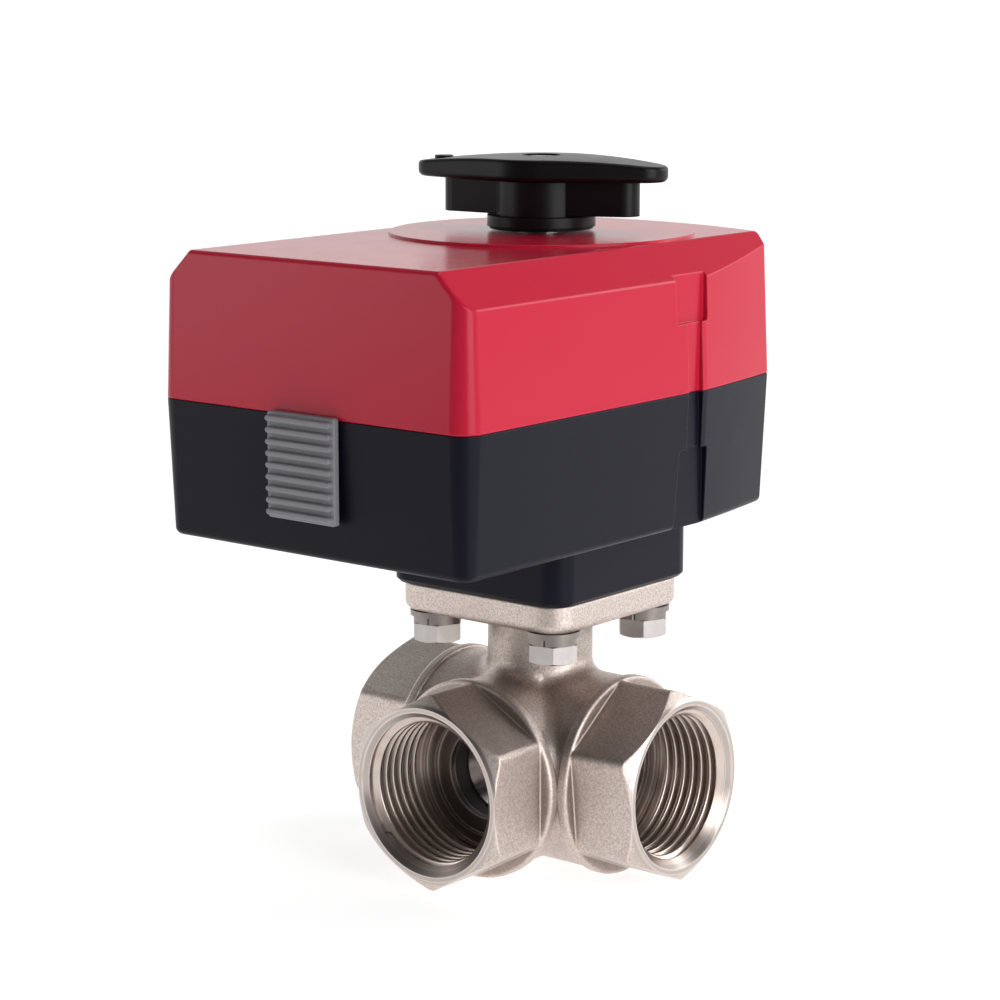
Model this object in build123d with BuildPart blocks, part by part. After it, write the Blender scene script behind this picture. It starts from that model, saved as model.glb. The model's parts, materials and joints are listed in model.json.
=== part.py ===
from build123d import *
import os
from math import acos, asin, cos, pi, radians, sin, sqrt, tan

# Motorised three-way ball valve. Millimetres, +Z up along the stem. The origin is the point where the
# stem axis crosses the port axes. Port A opens towards -Y, port B towards +X and port C towards -X.
# The actuator housing is long in Y, with its curved end at +Y.

os.makedirs("parts", exist_ok=True)

# ---------------------------------------------------------------- driving dimensions
UP = Vector(0, 0, 1)
PORT_A, PORT_B, PORT_C = Vector(0, -1, 0), Vector(1, 0, 0), Vector(-1, 0, 0)
PORT_AXES = {"a": PORT_A, "b": PORT_B, "c": PORT_C}

# valve body and ports, G 3/4 threads
port_face = 31.2
hex_vertex_r = 17.35
hex_edge_fillet = 1.9
hex_turns = {"a": 0, "b": 6, "c": 4.5}
collar_front, collar_back, collar_r, collar_edge = 19.0, 17.0, 17.3, 0.6
barrel_r, branch_r = 16.8, 16.4
crotch_fillet, neck_fillet = 2.5, 2.8
thread_major_r = 13.22
thread_end = 16.8
mouth_r, mouth_depth = 14.1, 0.9
relief_r, relief_end = 12.4, 16.0
step_r, step_end = 10.6, 15.2
flow_r = 7.8
seat_back, seat_r, seat_lip_r, seat_gap = 13.9, 11.4, 9.1, 0.06
cavity_r = 13.4
spigot_r, spigot_end = 14.2, 11.6
ball_r, ball_bore_r = 13.0, 7.5
slide_fit = 0.05

# stem and mounting flange, ISO 5211 F03
neck_r = 9.15
flange_half, flange_corner_r = 18.1, 5.0
flange_bottom, flange_top = 27.2, 32.2
bolt_offset = 18.0 * cos(radians(45))
bolt_r = 2.5
bolt_head_af, bolt_head_h = 8.0, 3.2
stem_r, stem_shoulder_r = 6.0, 7.4
stem_shoulder_z, washer_z, stem_counterbore_z = 13.2, 15.0, 15.8
stem_square = 8.0
tang_w, tang_z = 3.9, 9.6

# housing, at its widest at the seam
seam_z, base_z, cover_z = 67.8, 45.1, 92.1
side_x, near_y, bend_y = 32.5, -59.2, 3.2
side_mid = (31.0, 14.4)
far_corner = (29.0, 26.2)
far_apex_y = 32.3
near_corner_r, far_corner_r = 3.4, 3.0
cover_taper, base_taper = 2.1, 2.26
wall = 2.5
floor_z = base_z + wall
ridge_x, chamfer_drop = 26.1, 6.05
disc_r, disc_h = 26.0, 0.45
ridge_fillet, seam_break, foot_fillet = 0.8, 0.15, 1.2
block_half, block_corner_r = 18.9, 4.0
cover_inner_z = cover_z - wall

# cover screws and gear plate
near_boss, far_boss, boss_r = (27.0, -53.4), (24.2, 20.4), 3.2
plate_z, plate_t, plate_hx, plate_corner_r = 64.3, 1.5, 28.0, 4.0
plate_top = plate_z + plate_t
plate_y = (-49.7, 16.5)
plate_posts = ((23.0, -46.8), (21.8, 13.5))

# gear train: teeth, modules and levels
pressure_angle = radians(20)
addendum, dedendum, backlash = 0.8, 1.0, 0.08
output_teeth, pinion_teeth, output_module = 40, 12, 1.0
wheel_teeth, motor_teeth, wheel_module = 36, 12, 0.8
idler_y = -output_module * (output_teeth + pinion_teeth) / 2
motor_shaft_y = idler_y - wheel_module * (wheel_teeth + motor_teeth) / 2
motor_y, motor_r, motor_h = -33.0, 21.8, 12.0
output_gear_z, output_gear_h = 49.3, 4.7
idler_z, idler_pinion_h, idler_neck_h, idler_wheel_h, idler_hub_h = 48.2, 6.0, 1.4, 3.0, 1.6
idler_pin_r = 2.0
motor_pinion_z, motor_pinion_h = 55.4, 3.3

# output shaft and knob
shaft_r, shaft_gear_r, shaft_hub_r, knob_shaft_r = 5.0, 7.0, 8.5, 4.0
hub_bottom, hub_top, shaft_step_z, knob_z = 33.0, 48.9, 56.0, 93.0
bush_r = 10.5
knob_angle = 15.0
knob_top, knob_plate_z, knob_lug_z, knob_hub_z = 105.35, 101.3, 95.5, 95.3
knob_reach, knob_end_r, knob_mid_r = 18.2, 4.4, 10.8
lug_reach, lug_end_r, lug_mid_r = 14.9, 2.8, 5.6
knob_core_r, knob_hub_r = 7.7, 9.2

motor_shaft_r, motor_screw_x = 2.5, 24.0
motor_screw_points = ((-motor_screw_x, motor_y), (motor_screw_x, motor_y))
board_z, board_t = 79.0, 1.6
board_posts = ((-25.6, -41.0), (25.6, -41.0), (-25.6, -13.0), (25.6, -13.0))
board_y = (-49.4, -10.4)
switch_x, switch_t, switch_levels = 17.2, 6.4, (69.2, 75.8)
cam_r, lobe_r, plunger_tip_x = 8.6, 10.7, 10.85
switch_holes = ((switch_x + 2.4, -4.75), (switch_x + 2.4, 4.75))
bush_z, insert_r, insert_h = (34.0, 47.6), 3.5, 9.5
upper_bush_r, seal_r, seal_z = 6.6, 6.9, (85.8, 88.6)
cover_screw_head_z, cover_screw_head_h, cover_boss_h = 45.9, 2.0, 14.0
chamfer_run = 6.2
gasket_h = 0.9

# release slide
slot_hx, slot_z, neck_z, block_y = 3.8, 56.4, (57.0, 62.0), -54.6
slider_hx, slider_z = 7.1, (51.3, 68.3)
slider_back, slider_front, rib_front = -59.5, -60.6, -61.5
rib_count, rib_pitch, rib_t, rib_hx = 9, 1.86, 0.98, 6.8
fork_z, fork_t = 54.45, 1.0

# cable gland
gland_z = 56.0
gland_r, gland_hole_r = 6.0, 3.25
pad_y = 32.7


def save(piece, node):
    """Label a finished piece and write its STEP file."""
    piece.label = node
    export_step(piece, f"parts/{node}.step")


def port_plane(direction):
    """Plane whose local x runs out along a port and whose local y is up."""
    return Plane(origin=(0, 0, 0), x_dir=direction, z_dir=direction.cross(UP))


def port_outline(direction, points):
    """Closed (distance along the port, radius) outline, to be revolved about the port axis."""
    with BuildSketch(port_plane(direction)) as outline:
        with BuildLine():
            Polyline(*points, close=True)
        make_face()
    return outline.sketch


def upright_outline(points):
    """Closed (radius, height) outline, to be revolved about Z."""
    with BuildSketch(Plane.XZ) as outline:
        with BuildLine():
            Polyline(*points, close=True)
        make_face()
    return outline.sketch


def port_axis(direction):
    return Axis((0, 0, 0), direction)


def four_corners(x, y):
    return [(x, y), (-x, y), (-x, -y), (x, -y)]


def mirrored_x(points):
    return [point for x, y in points for point in ((x, y), (-x, y))]


bolt_points = four_corners(bolt_offset, bolt_offset)
screw_points = mirrored_x((near_boss, far_boss))
post_points = mirrored_x(plate_posts)


# ================================================================ valve
def port_bore_points():
    """Threaded mouth, relief, step and flow bore of a port, seen from its axis."""
    return (
        (seat_back - 0.2, 0), (seat_back - 0.2, flow_r), (step_end, flow_r), (step_end, step_r),
        (relief_end, step_r), (relief_end, relief_r), (thread_end, relief_r),
        (thread_end, thread_major_r), (port_face - mouth_depth, thread_major_r),
        (port_face, mouth_r), (port_face + 1, mouth_r), (port_face + 1, 0),
    )


def hex_port(direction, turn):
    """Hexagon of a port, turned in degrees from a vertex at the top, with its corners coned at the face."""
    cone_r = hex_vertex_r * cos(radians(30)) - 0.1
    cone_depth = 2.0
    with BuildPart() as hexagon:
        with BuildSketch(Plane(origin=direction * (collar_front - 0.5), x_dir=UP, z_dir=direction)):
            RegularPolygon(hex_vertex_r, 6, rotation=turn)
        extrude(amount=port_face - collar_front + 0.5)
        fillet(hexagon.edges().filter_by(port_axis(direction)), hex_edge_fillet)
        cone = ((0, 0), (0, 30), (port_face - cone_depth, 30), (port_face - cone_depth, hex_vertex_r + 0.2),
                (port_face, cone_r), (port_face, 0))
        revolve(port_outline(direction, cone), axis=port_axis(direction), mode=Mode.INTERSECT)
    return hexagon.part


collar_front_edge = [(collar_front - collar_edge * (1 - sin(radians(angle))),
                      collar_r - collar_edge * (1 - cos(radians(angle)))) for angle in (0, 30, 60, 90)]


def collar_points(inner=0.0):
    """Outline of a port's collar, rounded by three steps at its front edge."""
    return ((collar_back, inner), (collar_back, collar_r - 0.3), (collar_back + 0.3, collar_r),
            *collar_front_edge, (collar_front, inner))


with BuildPart() as valve_body:
    Cylinder(barrel_r, 2 * collar_back, rotation=(0, 90, 0))
    with Locations((0, -collar_back / 2, 0)):
        Cylinder(branch_r, collar_back, rotation=(90, 0, 0))
    crotch = valve_body.edges().filter_by(GeomType.BSPLINE)
    fillet(crotch, crotch_fillet)
    with Locations((0, 0, flange_bottom / 2)):
        Cylinder(neck_r, flange_bottom)
    neck_foot = valve_body.edges().filter_by(lambda e: e.geom_type != GeomType.LINE
                                             and abs(e.center().X) < 4 and abs(e.center().Y) < 9.5
                                             and barrel_r - 4 < e.center().Z < barrel_r + 1
                                             and e.bounding_box().size.Z < 4)
    fillet(neck_foot, neck_fillet)
    with BuildSketch(Plane.XY.offset(flange_bottom)):
        RectangleRounded(2 * flange_half, 2 * flange_half, flange_corner_r)
    extrude(amount=flange_top - flange_bottom)
    flange_rim = valve_body.faces().sort_by(Axis.Z)[-1].outer_wire().edges()
    fillet(flange_rim, 0.4)
    flange_foot = valve_body.faces().filter_by(
        lambda f: abs(f.center().Z - flange_bottom) < 0.1 and f.area > 500)
    fillet(flange_foot[0].outer_wire().edges(), 1.6)
    revolve(port_outline(PORT_A, collar_points()), axis=port_axis(PORT_A))
    add(hex_port(PORT_A, hex_turns["a"]))
    # ball cavity, connector threads, seat pocket of port A and its mouth
    Cylinder(cavity_r, 4 * collar_back, rotation=(0, 90, 0), mode=Mode.SUBTRACT)
    for direction in (PORT_B, PORT_C):
        thread = ((spigot_end - 0.2, 0), (spigot_end - 0.2, spigot_r), (collar_back + 1, spigot_r),
                  (collar_back + 1, 0))
        revolve(port_outline(direction, thread), axis=port_axis(direction), mode=Mode.SUBTRACT)
    pocket = ((0, 0), (0, seat_r + 0.02), (seat_back, seat_r + 0.02), (seat_back, 0))
    revolve(port_outline(PORT_A, pocket), axis=port_axis(PORT_A), mode=Mode.SUBTRACT)
    revolve(port_outline(PORT_A, port_bore_points()), axis=port_axis(PORT_A), mode=Mode.SUBTRACT)
    # stem bore with the counterbore for the stem's shoulder, and the flange's bolt holes
    stem_bore = ((0, 0), (stem_shoulder_r + slide_fit, 0),
                 (stem_shoulder_r + slide_fit, stem_counterbore_z),
                 (stem_r + slide_fit, stem_counterbore_z), (stem_r + slide_fit, flange_top + 1),
                 (0, flange_top + 1))
    revolve(upright_outline(stem_bore), axis=Axis.Z, mode=Mode.SUBTRACT)
    with BuildSketch(Plane.XY.offset(flange_bottom - 1)):
        with Locations(*bolt_points):
            Circle(bolt_r + 0.25)
    extrude(amount=flange_top - flange_bottom + 2, mode=Mode.SUBTRACT)
save(valve_body.part, "valve_body")


oring_x, oring_r, oring_major = 14.9, 0.68, 13.5
for letter, direction in (("b", PORT_B), ("c", PORT_C)):
    outer = ((spigot_end, seat_r + 0.02), (spigot_end, spigot_r - 0.55),
             (spigot_end + 0.5, spigot_r - 0.05),
             (oring_x - 0.75, spigot_r - 0.05), (oring_x - 0.75, oring_major - oring_r - 0.02),
             (oring_x + 0.75, oring_major - oring_r - 0.02), (oring_x + 0.75, spigot_r - 0.05),
             (collar_back, spigot_r - 0.05), (collar_back, collar_r - 0.3),
             (collar_back + 0.3, collar_r), *collar_front_edge, (collar_front, flow_r),
             (seat_back, flow_r), (seat_back, seat_r + 0.02))
    with BuildPart() as connector:
        revolve(port_outline(direction, outer), axis=port_axis(direction))
        add(hex_port(direction, hex_turns[letter]))
        revolve(port_outline(direction, port_bore_points()), axis=port_axis(direction), mode=Mode.SUBTRACT)
    save(connector.part, f"port_connector_{letter}")

    with BuildPart() as ring:
        with BuildSketch(port_plane(direction)):
            with Locations((oring_x, oring_major)):
                Circle(oring_r)
        revolve(axis=port_axis(direction))
    save(ring.part, f"connector_oring_{letter}")


seat_ring_x, seat_ring_r = 12.6, 0.6
seat_ring_major = seat_r - seat_ring_r
seat_sphere_r = ball_r + seat_gap
for letter, direction in PORT_AXES.items():
    # the sealing face follows the ball, and the mitre keeps neighbouring seats apart
    inner_x = sqrt(seat_sphere_r**2 - flow_r**2)
    outer_x = sqrt(seat_sphere_r**2 - seat_lip_r**2)
    middle_r = (flow_r + seat_lip_r) / 2
    middle_x = sqrt(seat_sphere_r**2 - middle_r**2)
    with BuildPart() as seat:
        with BuildSketch(port_plane(direction)):
            with BuildLine():
                ThreePointArc((inner_x, flow_r), (middle_x, middle_r), (outer_x, seat_lip_r))
                Polyline((outer_x, seat_lip_r), (seat_r + 0.15, seat_r), (seat_ring_x - 0.65, seat_r),
                         (seat_ring_x - 0.65, seat_r - 1.25), (seat_ring_x + 0.65, seat_r - 1.25),
                         (seat_ring_x + 0.65, seat_r), (seat_back, seat_r), (seat_back, flow_r),
                         (inner_x, flow_r))
            make_face()
        revolve(axis=port_axis(direction))
    save(seat.part, f"ball_seat_{letter}")

    with BuildPart() as ring:
        with BuildSketch(port_plane(direction)):
            with Locations((seat_ring_x, seat_ring_major)):
                Circle(seat_ring_r)
        revolve(axis=port_axis(direction))
    save(ring.part, f"seat_oring_{letter}")


with BuildPart() as ball:
    Sphere(ball_r)
    Sphere(ball_bore_r, mode=Mode.SUBTRACT)
    for direction in (PORT_A, PORT_B):
        bore = ((0, 0), (0, ball_bore_r), (ball_r + 1, ball_bore_r), (ball_r + 1, 0))
        revolve(port_outline(direction, bore), axis=port_axis(direction), mode=Mode.SUBTRACT)
    with Locations((0, 0, tang_z + 5)):
        Box(2 * ball_r, tang_w + 0.1, 10.2, mode=Mode.SUBTRACT)
save(ball.part, "ball")


stem_groove_r, stem_groove_h = 4.6, 1.7
stem_ring_z = (20.0, 24.0)
stem_turned = [(0, stem_shoulder_z), (stem_shoulder_r, stem_shoulder_z), (stem_shoulder_r, washer_z),
               (stem_r, washer_z)]
for z in stem_ring_z:
    stem_turned += [(stem_r, z - stem_groove_h / 2), (stem_groove_r, z - stem_groove_h / 2),
                    (stem_groove_r, z + stem_groove_h / 2), (stem_r, z + stem_groove_h / 2)]
stem_turned += [(stem_r, 31.6), (0, 31.6)]
with BuildPart() as stem:
    revolve(upright_outline(stem_turned), axis=Axis.Z)
    with Locations((0, 0, (tang_z + stem_shoulder_z) / 2 + 0.1)):
        Box(9.0, tang_w, stem_shoulder_z - tang_z)
    with BuildSketch(Plane.XY.offset(31.6)):
        RectangleRounded(stem_square, stem_square, 0.6)
    extrude(amount=11.4)
save(stem.part, "stem")

with BuildPart() as stem_washer:
    washer = ((stem_r + slide_fit, washer_z + 0.05), (stem_shoulder_r, washer_z + 0.05),
              (stem_shoulder_r, stem_counterbore_z - 0.02), (stem_r + slide_fit, stem_counterbore_z - 0.02))
    revolve(upright_outline(washer), axis=Axis.Z)
save(stem_washer.part, "stem_washer")

with BuildPart() as stem_orings:
    with BuildSketch(Plane.XZ):
        for z in stem_ring_z:
            with Locations((stem_r - 0.69, z)):
                Circle(0.69)
    revolve(axis=Axis.Z)
save(stem_orings.part, "stem_orings")


# ---------------------------------------------------------------- fasteners
def cylinder_outline(rings):
    """Outline of a stack of cylinders, given as (radius, lower z, upper z) from the bottom up."""
    points = [(0, rings[0][1])]
    for radius, low, high in rings:
        points += [(radius, low), (radius, high)]
    return points + [(0, rings[-1][2])]


def bolt(head_z, shank_end, af, head_h, shank_r, rotation):
    """Hexagon-head bolt standing on its head, with the head's lower corners turned off."""
    with BuildPart() as piece:
        with BuildSketch(Plane.XY.offset(head_z)):
            RegularPolygon(af / 2, 6, major_radius=False, rotation=rotation)
        extrude(amount=head_h)
        corner_r = af / 2 / cos(radians(30))
        turned = ((0, head_z), (af / 2 - 0.15, head_z), (corner_r + 0.05, head_z + 0.45),
                  (corner_r + 0.05, head_z + head_h), (0, head_z + head_h))
        revolve(upright_outline(turned), axis=Axis.Z, mode=Mode.INTERSECT)
        shank = ((0, head_z + 1), (shank_r, head_z + 1), (shank_r, shank_end - 0.5),
                 (shank_r - 0.5, shank_end), (0, shank_end))
        revolve(upright_outline(shank), axis=Axis.Z)
    return piece.part


def pan_screw(head_z, shank_end, head_r, head_h, shank_r):
    """Cross-recess screw with its head's outer face at head_z; it points from there to shank_end."""
    way = 1 if shank_end > head_z else -1
    with BuildPart() as piece:
        outline = ((0, head_z), (head_r - 0.4, head_z), (head_r, head_z + way * 0.5),
                   (head_r, head_z + way * head_h), (shank_r, head_z + way * head_h),
                   (shank_r, shank_end), (0, shank_end))
        revolve(upright_outline(outline), axis=Axis.Z)
        with Locations((0, 0, head_z)):
            Box(1.1 * head_r, 0.5, head_h, mode=Mode.SUBTRACT)
            Box(0.5, 1.1 * head_r, head_h, mode=Mode.SUBTRACT)
    return piece.part


# flange bolts with their washers, put in from below
flat_washer_t, spring_washer_t = 1.0, 1.3
spring_washer_z = flange_bottom - flat_washer_t - spring_washer_t
bolt_head_z = spring_washer_z - bolt_head_h
head_turn = -51
one_bolt = bolt(bolt_head_z, spring_washer_z + 16, bolt_head_af, bolt_head_h, bolt_r, head_turn)
with BuildPart() as flange_bolts:
    with Locations(*[(x, y, 0) for x, y in bolt_points]):
        add(one_bolt)
save(flange_bolts.part, "flange_bolts")

with BuildPart() as flat_washers:
    with BuildSketch(Plane.XY.offset(flange_bottom - flat_washer_t)):
        with Locations(*bolt_points):
            Circle(4.7)
            Circle(bolt_r + 0.15, mode=Mode.SUBTRACT)
    extrude(amount=flat_washer_t)
save(flat_washers.part, "flat_washers")

with BuildPart() as spring_washers:
    with BuildSketch(Plane.XY.offset(spring_washer_z)):
        with Locations(*bolt_points):
            Circle(4.15)
            Circle(bolt_r + 0.1, mode=Mode.SUBTRACT)
        with Locations(*[(x + 2.1, y - 2.6) for x, y in bolt_points]):
            Rectangle(0.5, 4.0, rotation=-39, mode=Mode.SUBTRACT)
    extrude(amount=spring_washer_t)
save(spring_washers.part, "spring_washers")


# ================================================================ housing
def housing_outline(z, inset=0.0, shrink=0.0):
    """Plan of the housing at its seam, moved in by a wall's thickness or a draft."""
    with BuildSketch(Plane.XY.offset(z)) as outline:
        with BuildLine():
            Polyline((-side_x, bend_y), (-side_x, near_y), (side_x, near_y), (side_x, bend_y))
            ThreePointArc((side_x, bend_y), side_mid, far_corner)
            ThreePointArc(far_corner, (0, far_apex_y), (-far_corner[0], far_corner[1]))
            ThreePointArc((-far_corner[0], far_corner[1]), (-side_mid[0], side_mid[1]), (-side_x, bend_y))
        make_face()
        corners = outline.vertices()
        fillet(corners.filter_by(lambda v: v.Y < near_y + 1), near_corner_r)
        fillet(corners.filter_by(lambda v: v.Y > far_corner[1] - 1), far_corner_r)
        if inset + shrink:
            offset(amount=-(inset + shrink))
    return outline.sketch


def chamfer_wedge(top_z, drop, top_x, run):
    """Two long triangular prisms that take off the top's side edges."""
    reach = 2.0
    slope = drop / run
    with BuildPart() as wedges:
        with BuildSketch(Plane.XZ.offset(-40)):
            with BuildLine():
                Polyline((top_x - reach, top_z + reach * slope),
                         (top_x + run + reach, top_z - drop - reach * slope),
                         (top_x + run + reach, top_z + reach * slope), close=True)
            make_face()
            mirror(about=Plane.YZ)
        extrude(amount=110)
    return wedges.part


cover_pocket = ((-4.9, 79.3), (3.7, 79.3), (3.7, 90.0), (-5.2, 90.0))
base_pocket = ((-4.9, 44.0), (3.9, 44.0), (3.9, 58.4), (-3.9, 58.4))
pocket_depth, groove_depth = 1.5, 0.9


def side_recess(points, depth, corner=0.6):
    """Shallow recess in both long sides; the points are (y, z) and the depth is from the seam's width."""
    with BuildPart() as recess:
        for side in (1, -1):
            plane = Plane(origin=(side * (side_x - depth), 0, 0), x_dir=(0, 1, 0), z_dir=(1, 0, 0))
            with BuildSketch(plane) as outline:
                with BuildLine():
                    Polyline(*points, close=True)
                make_face()
                fillet(outline.vertices(), corner)
            extrude(amount=side * 6)
    return recess.part


def gasket_outline(z):
    """Narrow band along the middle of the base's rim."""
    inner = housing_outline(z, 1.9)
    with BuildSketch() as band:
        add(housing_outline(z, 1.0).moved(Location((0, 0, -z))))
        add(inner.moved(Location((0, 0, -z))), mode=Mode.SUBTRACT)
    return band.sketch.moved(Location((0, 0, z)))


groove_points = ((-2.0, 50.0), (2.0, 50.0), (2.0, 84.0), (-2.0, 84.0))

# black base: tapered shell, floor, neck block, bosses and posts
with BuildPart() as actuator_base:
    extrude(housing_outline(seam_z), amount=-(seam_z - base_z), taper=base_taper)
    foot = actuator_base.faces().sort_by(Axis.Z)[0].outer_wire().edges()
    fillet(foot, foot_fillet)
    seam_edges = actuator_base.faces().sort_by(Axis.Z)[-1].outer_wire().edges()
    chamfer(seam_edges, seam_break)
    add(side_recess(base_pocket, pocket_depth), mode=Mode.SUBTRACT)
    add(side_recess(groove_points, groove_depth), mode=Mode.SUBTRACT)
    with BuildSketch(Plane.XY.offset(flange_top)):
        RectangleRounded(2 * block_half, 2 * block_half, block_corner_r)
    extrude(amount=base_z - flange_top + 1)
    block_foot = actuator_base.faces().sort_by(Axis.Z)[0].outer_wire().edges()
    chamfer(block_foot, 0.7)
    with BuildSketch(Plane.XZ.offset(-pad_y)):
        with Locations((0, gland_z)):
            Circle(9.4)
    extrude(amount=pad_y - 29)
    extrude(housing_outline(floor_z, wall + 0.7), amount=seam_z - floor_z + 1, mode=Mode.SUBTRACT)
    with BuildSketch(Plane.XY.offset(floor_z - 1)):
        with Locations(*screw_points):
            Circle(boss_r)
    extrude(amount=seam_z - floor_z + 1)
    with BuildSketch(Plane.XY.offset(floor_z - 1)):
        with Locations(*post_points):
            Circle(3.0)
    extrude(amount=plate_z - floor_z + 1)
    with BuildSketch(Plane.XY.offset(floor_z - 1)):
        with Locations((0, idler_y)):
            Circle(3.4)
    extrude(amount=idler_z - 0.3 - floor_z + 1)
    # bores: lower bush, inserts, cover screws, plate screws, idler pin, gland and release slot
    shaft_bore = ((0, flange_top - 1), (shaft_hub_r + 0.4, flange_top - 1), (shaft_hub_r + 0.4, bush_z[0]),
                  (bush_r, bush_z[0]), (bush_r, floor_z + 1), (0, floor_z + 1))
    revolve(upright_outline(shaft_bore), axis=Axis.Z, mode=Mode.SUBTRACT)
    with BuildSketch(Plane.XY.offset(flange_top - 1)):
        with Locations(*bolt_points):
            Circle(insert_r)
    extrude(amount=insert_h + 1, mode=Mode.SUBTRACT)
    with BuildSketch(Plane.XY.offset(base_z - 1)):
        with Locations(*screw_points):
            Circle(3.0)
    extrude(amount=cover_screw_head_z + 1 - base_z + cover_screw_head_h, mode=Mode.SUBTRACT)
    with BuildSketch(Plane.XY.offset(base_z)):
        with Locations(*screw_points):
            Circle(1.6)
    extrude(amount=seam_z - base_z + 1, mode=Mode.SUBTRACT)
    with BuildSketch(Plane.XY.offset(plate_z - 9)):
        with Locations(*post_points):
            Circle(1.5)
    extrude(amount=10, mode=Mode.SUBTRACT)
    with BuildSketch(Plane.XY.offset(floor_z - 1.2)):
        with Locations((0, idler_y)):
            Circle(idler_pin_r)
    extrude(amount=6, mode=Mode.SUBTRACT)
    with BuildSketch(Plane.XZ.offset(-25)):
        with Locations((0, gland_z)):
            Circle(gland_r)
    extrude(amount=-10, mode=Mode.SUBTRACT)
    with Locations((0, near_y, (slot_z + seam_z + 1) / 2)):
        Box(2 * slot_hx, 12, seam_z + 1 - slot_z, mode=Mode.SUBTRACT)
    extrude(gasket_outline(seam_z - gasket_h), amount=gasket_h + 1, mode=Mode.SUBTRACT)
save(actuator_base.part, "actuator_base")

with BuildPart() as cover_gasket:
    extrude(gasket_outline(seam_z - gasket_h), amount=gasket_h)
save(cover_gasket.part, "cover_gasket")

# red cover: tapered shell with two long chamfers, screw bosses and the shaft boss
with BuildPart() as cover_core:
    extrude(housing_outline(seam_z - 1, wall + 0.6), amount=cover_inner_z - seam_z + 1)
    inner_wedge = chamfer_wedge(cover_inner_z, chamfer_drop - 0.2, ridge_x - 1.2, side_x - ridge_x)
    add(inner_wedge, mode=Mode.SUBTRACT)

with BuildPart() as top_cover:
    extrude(housing_outline(seam_z), amount=cover_z - seam_z, taper=cover_taper)
    add(chamfer_wedge(cover_z, chamfer_drop, ridge_x, chamfer_run), mode=Mode.SUBTRACT)
    top_face = top_cover.faces().sort_by(Axis.Z)[-1]
    fillet(top_face.edges(), ridge_fillet)
    chamfer_foot = top_cover.edges().filter_by(lambda e: cover_z - 9 < e.center().Z < cover_z - 4
                                               and abs(e.center().X) > ridge_x + 3 and e.length > 40)
    fillet(chamfer_foot, ridge_fillet)
    seam_edges = top_cover.faces().sort_by(Axis.Z)[0].outer_wire().edges()
    chamfer(seam_edges, seam_break)
    add(side_recess(cover_pocket, pocket_depth), mode=Mode.SUBTRACT)
    add(side_recess(groove_points, groove_depth), mode=Mode.SUBTRACT)
    with BuildSketch(Plane.XY.offset(cover_z - 0.5)):
        Circle(disc_r)
    extrude(amount=disc_h + 0.5)
    disc_rim = top_cover.faces().sort_by(Axis.Z)[-1].edges()
    fillet(disc_rim, 0.2)
    add(cover_core.part, mode=Mode.SUBTRACT)
    with BuildSketch(Plane.XY.offset(seam_z)):
        with Locations(*screw_points):
            Circle(boss_r)
    extrude(amount=cover_boss_h)
    shaft_boss = ((0, 85.5), (9.5, 85.5), (9.5, cover_z), (0, cover_z))
    revolve(upright_outline(shaft_boss), axis=Axis.Z)
    with BuildSketch(Plane.XY.offset(seam_z - 1)):
        with Locations(*screw_points):
            Circle(1.5)
    extrude(amount=cover_boss_h - 1, mode=Mode.SUBTRACT)
    shaft_hole = ((0, 84), (seal_r, 84), (seal_r, seal_z[1]), (shaft_r + 0.3, seal_z[1]),
                  (shaft_r + 0.3, cover_z + 2), (0, cover_z + 2))
    revolve(upright_outline(shaft_hole), axis=Axis.Z, mode=Mode.SUBTRACT)
save(top_cover.part, "top_cover")

cover_screw = pan_screw(cover_screw_head_z, cover_screw_head_z + 30, 2.8, cover_screw_head_h, 1.5)
with BuildPart() as cover_screws:
    with Locations(*[(x, y, 0) for x, y in screw_points]):
        add(cover_screw)
save(cover_screws.part, "cover_screws")

with BuildPart() as threaded_inserts:
    with BuildSketch(Plane.XY.offset(flange_top + 0.2)):
        with Locations(*bolt_points):
            Circle(insert_r)
            Circle(bolt_r, mode=Mode.SUBTRACT)
    extrude(amount=insert_h - 0.2)
save(threaded_inserts.part, "threaded_inserts")


# ================================================================ output shaft and its bearings
with BuildPart() as output_shaft:
    steps = ((shaft_hub_r, hub_bottom, hub_top), (shaft_gear_r, hub_top, shaft_step_z),
             (shaft_r, shaft_step_z, knob_z - 0.4), (knob_shaft_r, knob_z - 0.4, knob_top - 2.6))
    revolve(upright_outline(cylinder_outline(steps)), axis=Axis.Z)
    with BuildSketch(Plane.XY.offset(hub_bottom - 1)):
        Rectangle(stem_square + 0.1, stem_square + 0.1)
    extrude(amount=11.5, mode=Mode.SUBTRACT)
    with Locations((0, 0, knob_top - 6)):
        Cylinder(1.5, 10, mode=Mode.SUBTRACT)
    for side in (1, -1):
        with Locations((0, side * (knob_shaft_r + 0.2), knob_z + 6)):
            Box(10, 2, 12, mode=Mode.SUBTRACT)
save(output_shaft.part, "output_shaft")

with BuildPart() as lower_bush:
    flanged = ((shaft_hub_r + slide_fit, bush_z[0]), (bush_r, bush_z[0]), (bush_r, bush_z[1]),
               (shaft_hub_r + slide_fit, bush_z[1]))
    revolve(upright_outline(flanged), axis=Axis.Z)
save(lower_bush.part, "lower_bush")

with BuildPart() as upper_bush:
    flanged = ((shaft_r + slide_fit, plate_z), (upper_bush_r, plate_z), (upper_bush_r, plate_top),
               (upper_bush_r + 1.5, plate_top), (upper_bush_r + 1.5, plate_top + 0.8),
               (shaft_r + slide_fit, plate_top + 0.8))
    revolve(upright_outline(flanged), axis=Axis.Z)
save(upper_bush.part, "upper_bush")

with BuildPart() as shaft_seal:
    lip = ((shaft_r + slide_fit, seal_z[0]), (seal_r, seal_z[0]), (seal_r, seal_z[1]),
           (shaft_r + slide_fit, seal_z[1]))
    revolve(upright_outline(lip), axis=Axis.Z)
save(shaft_seal.part, "shaft_seal")


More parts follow.
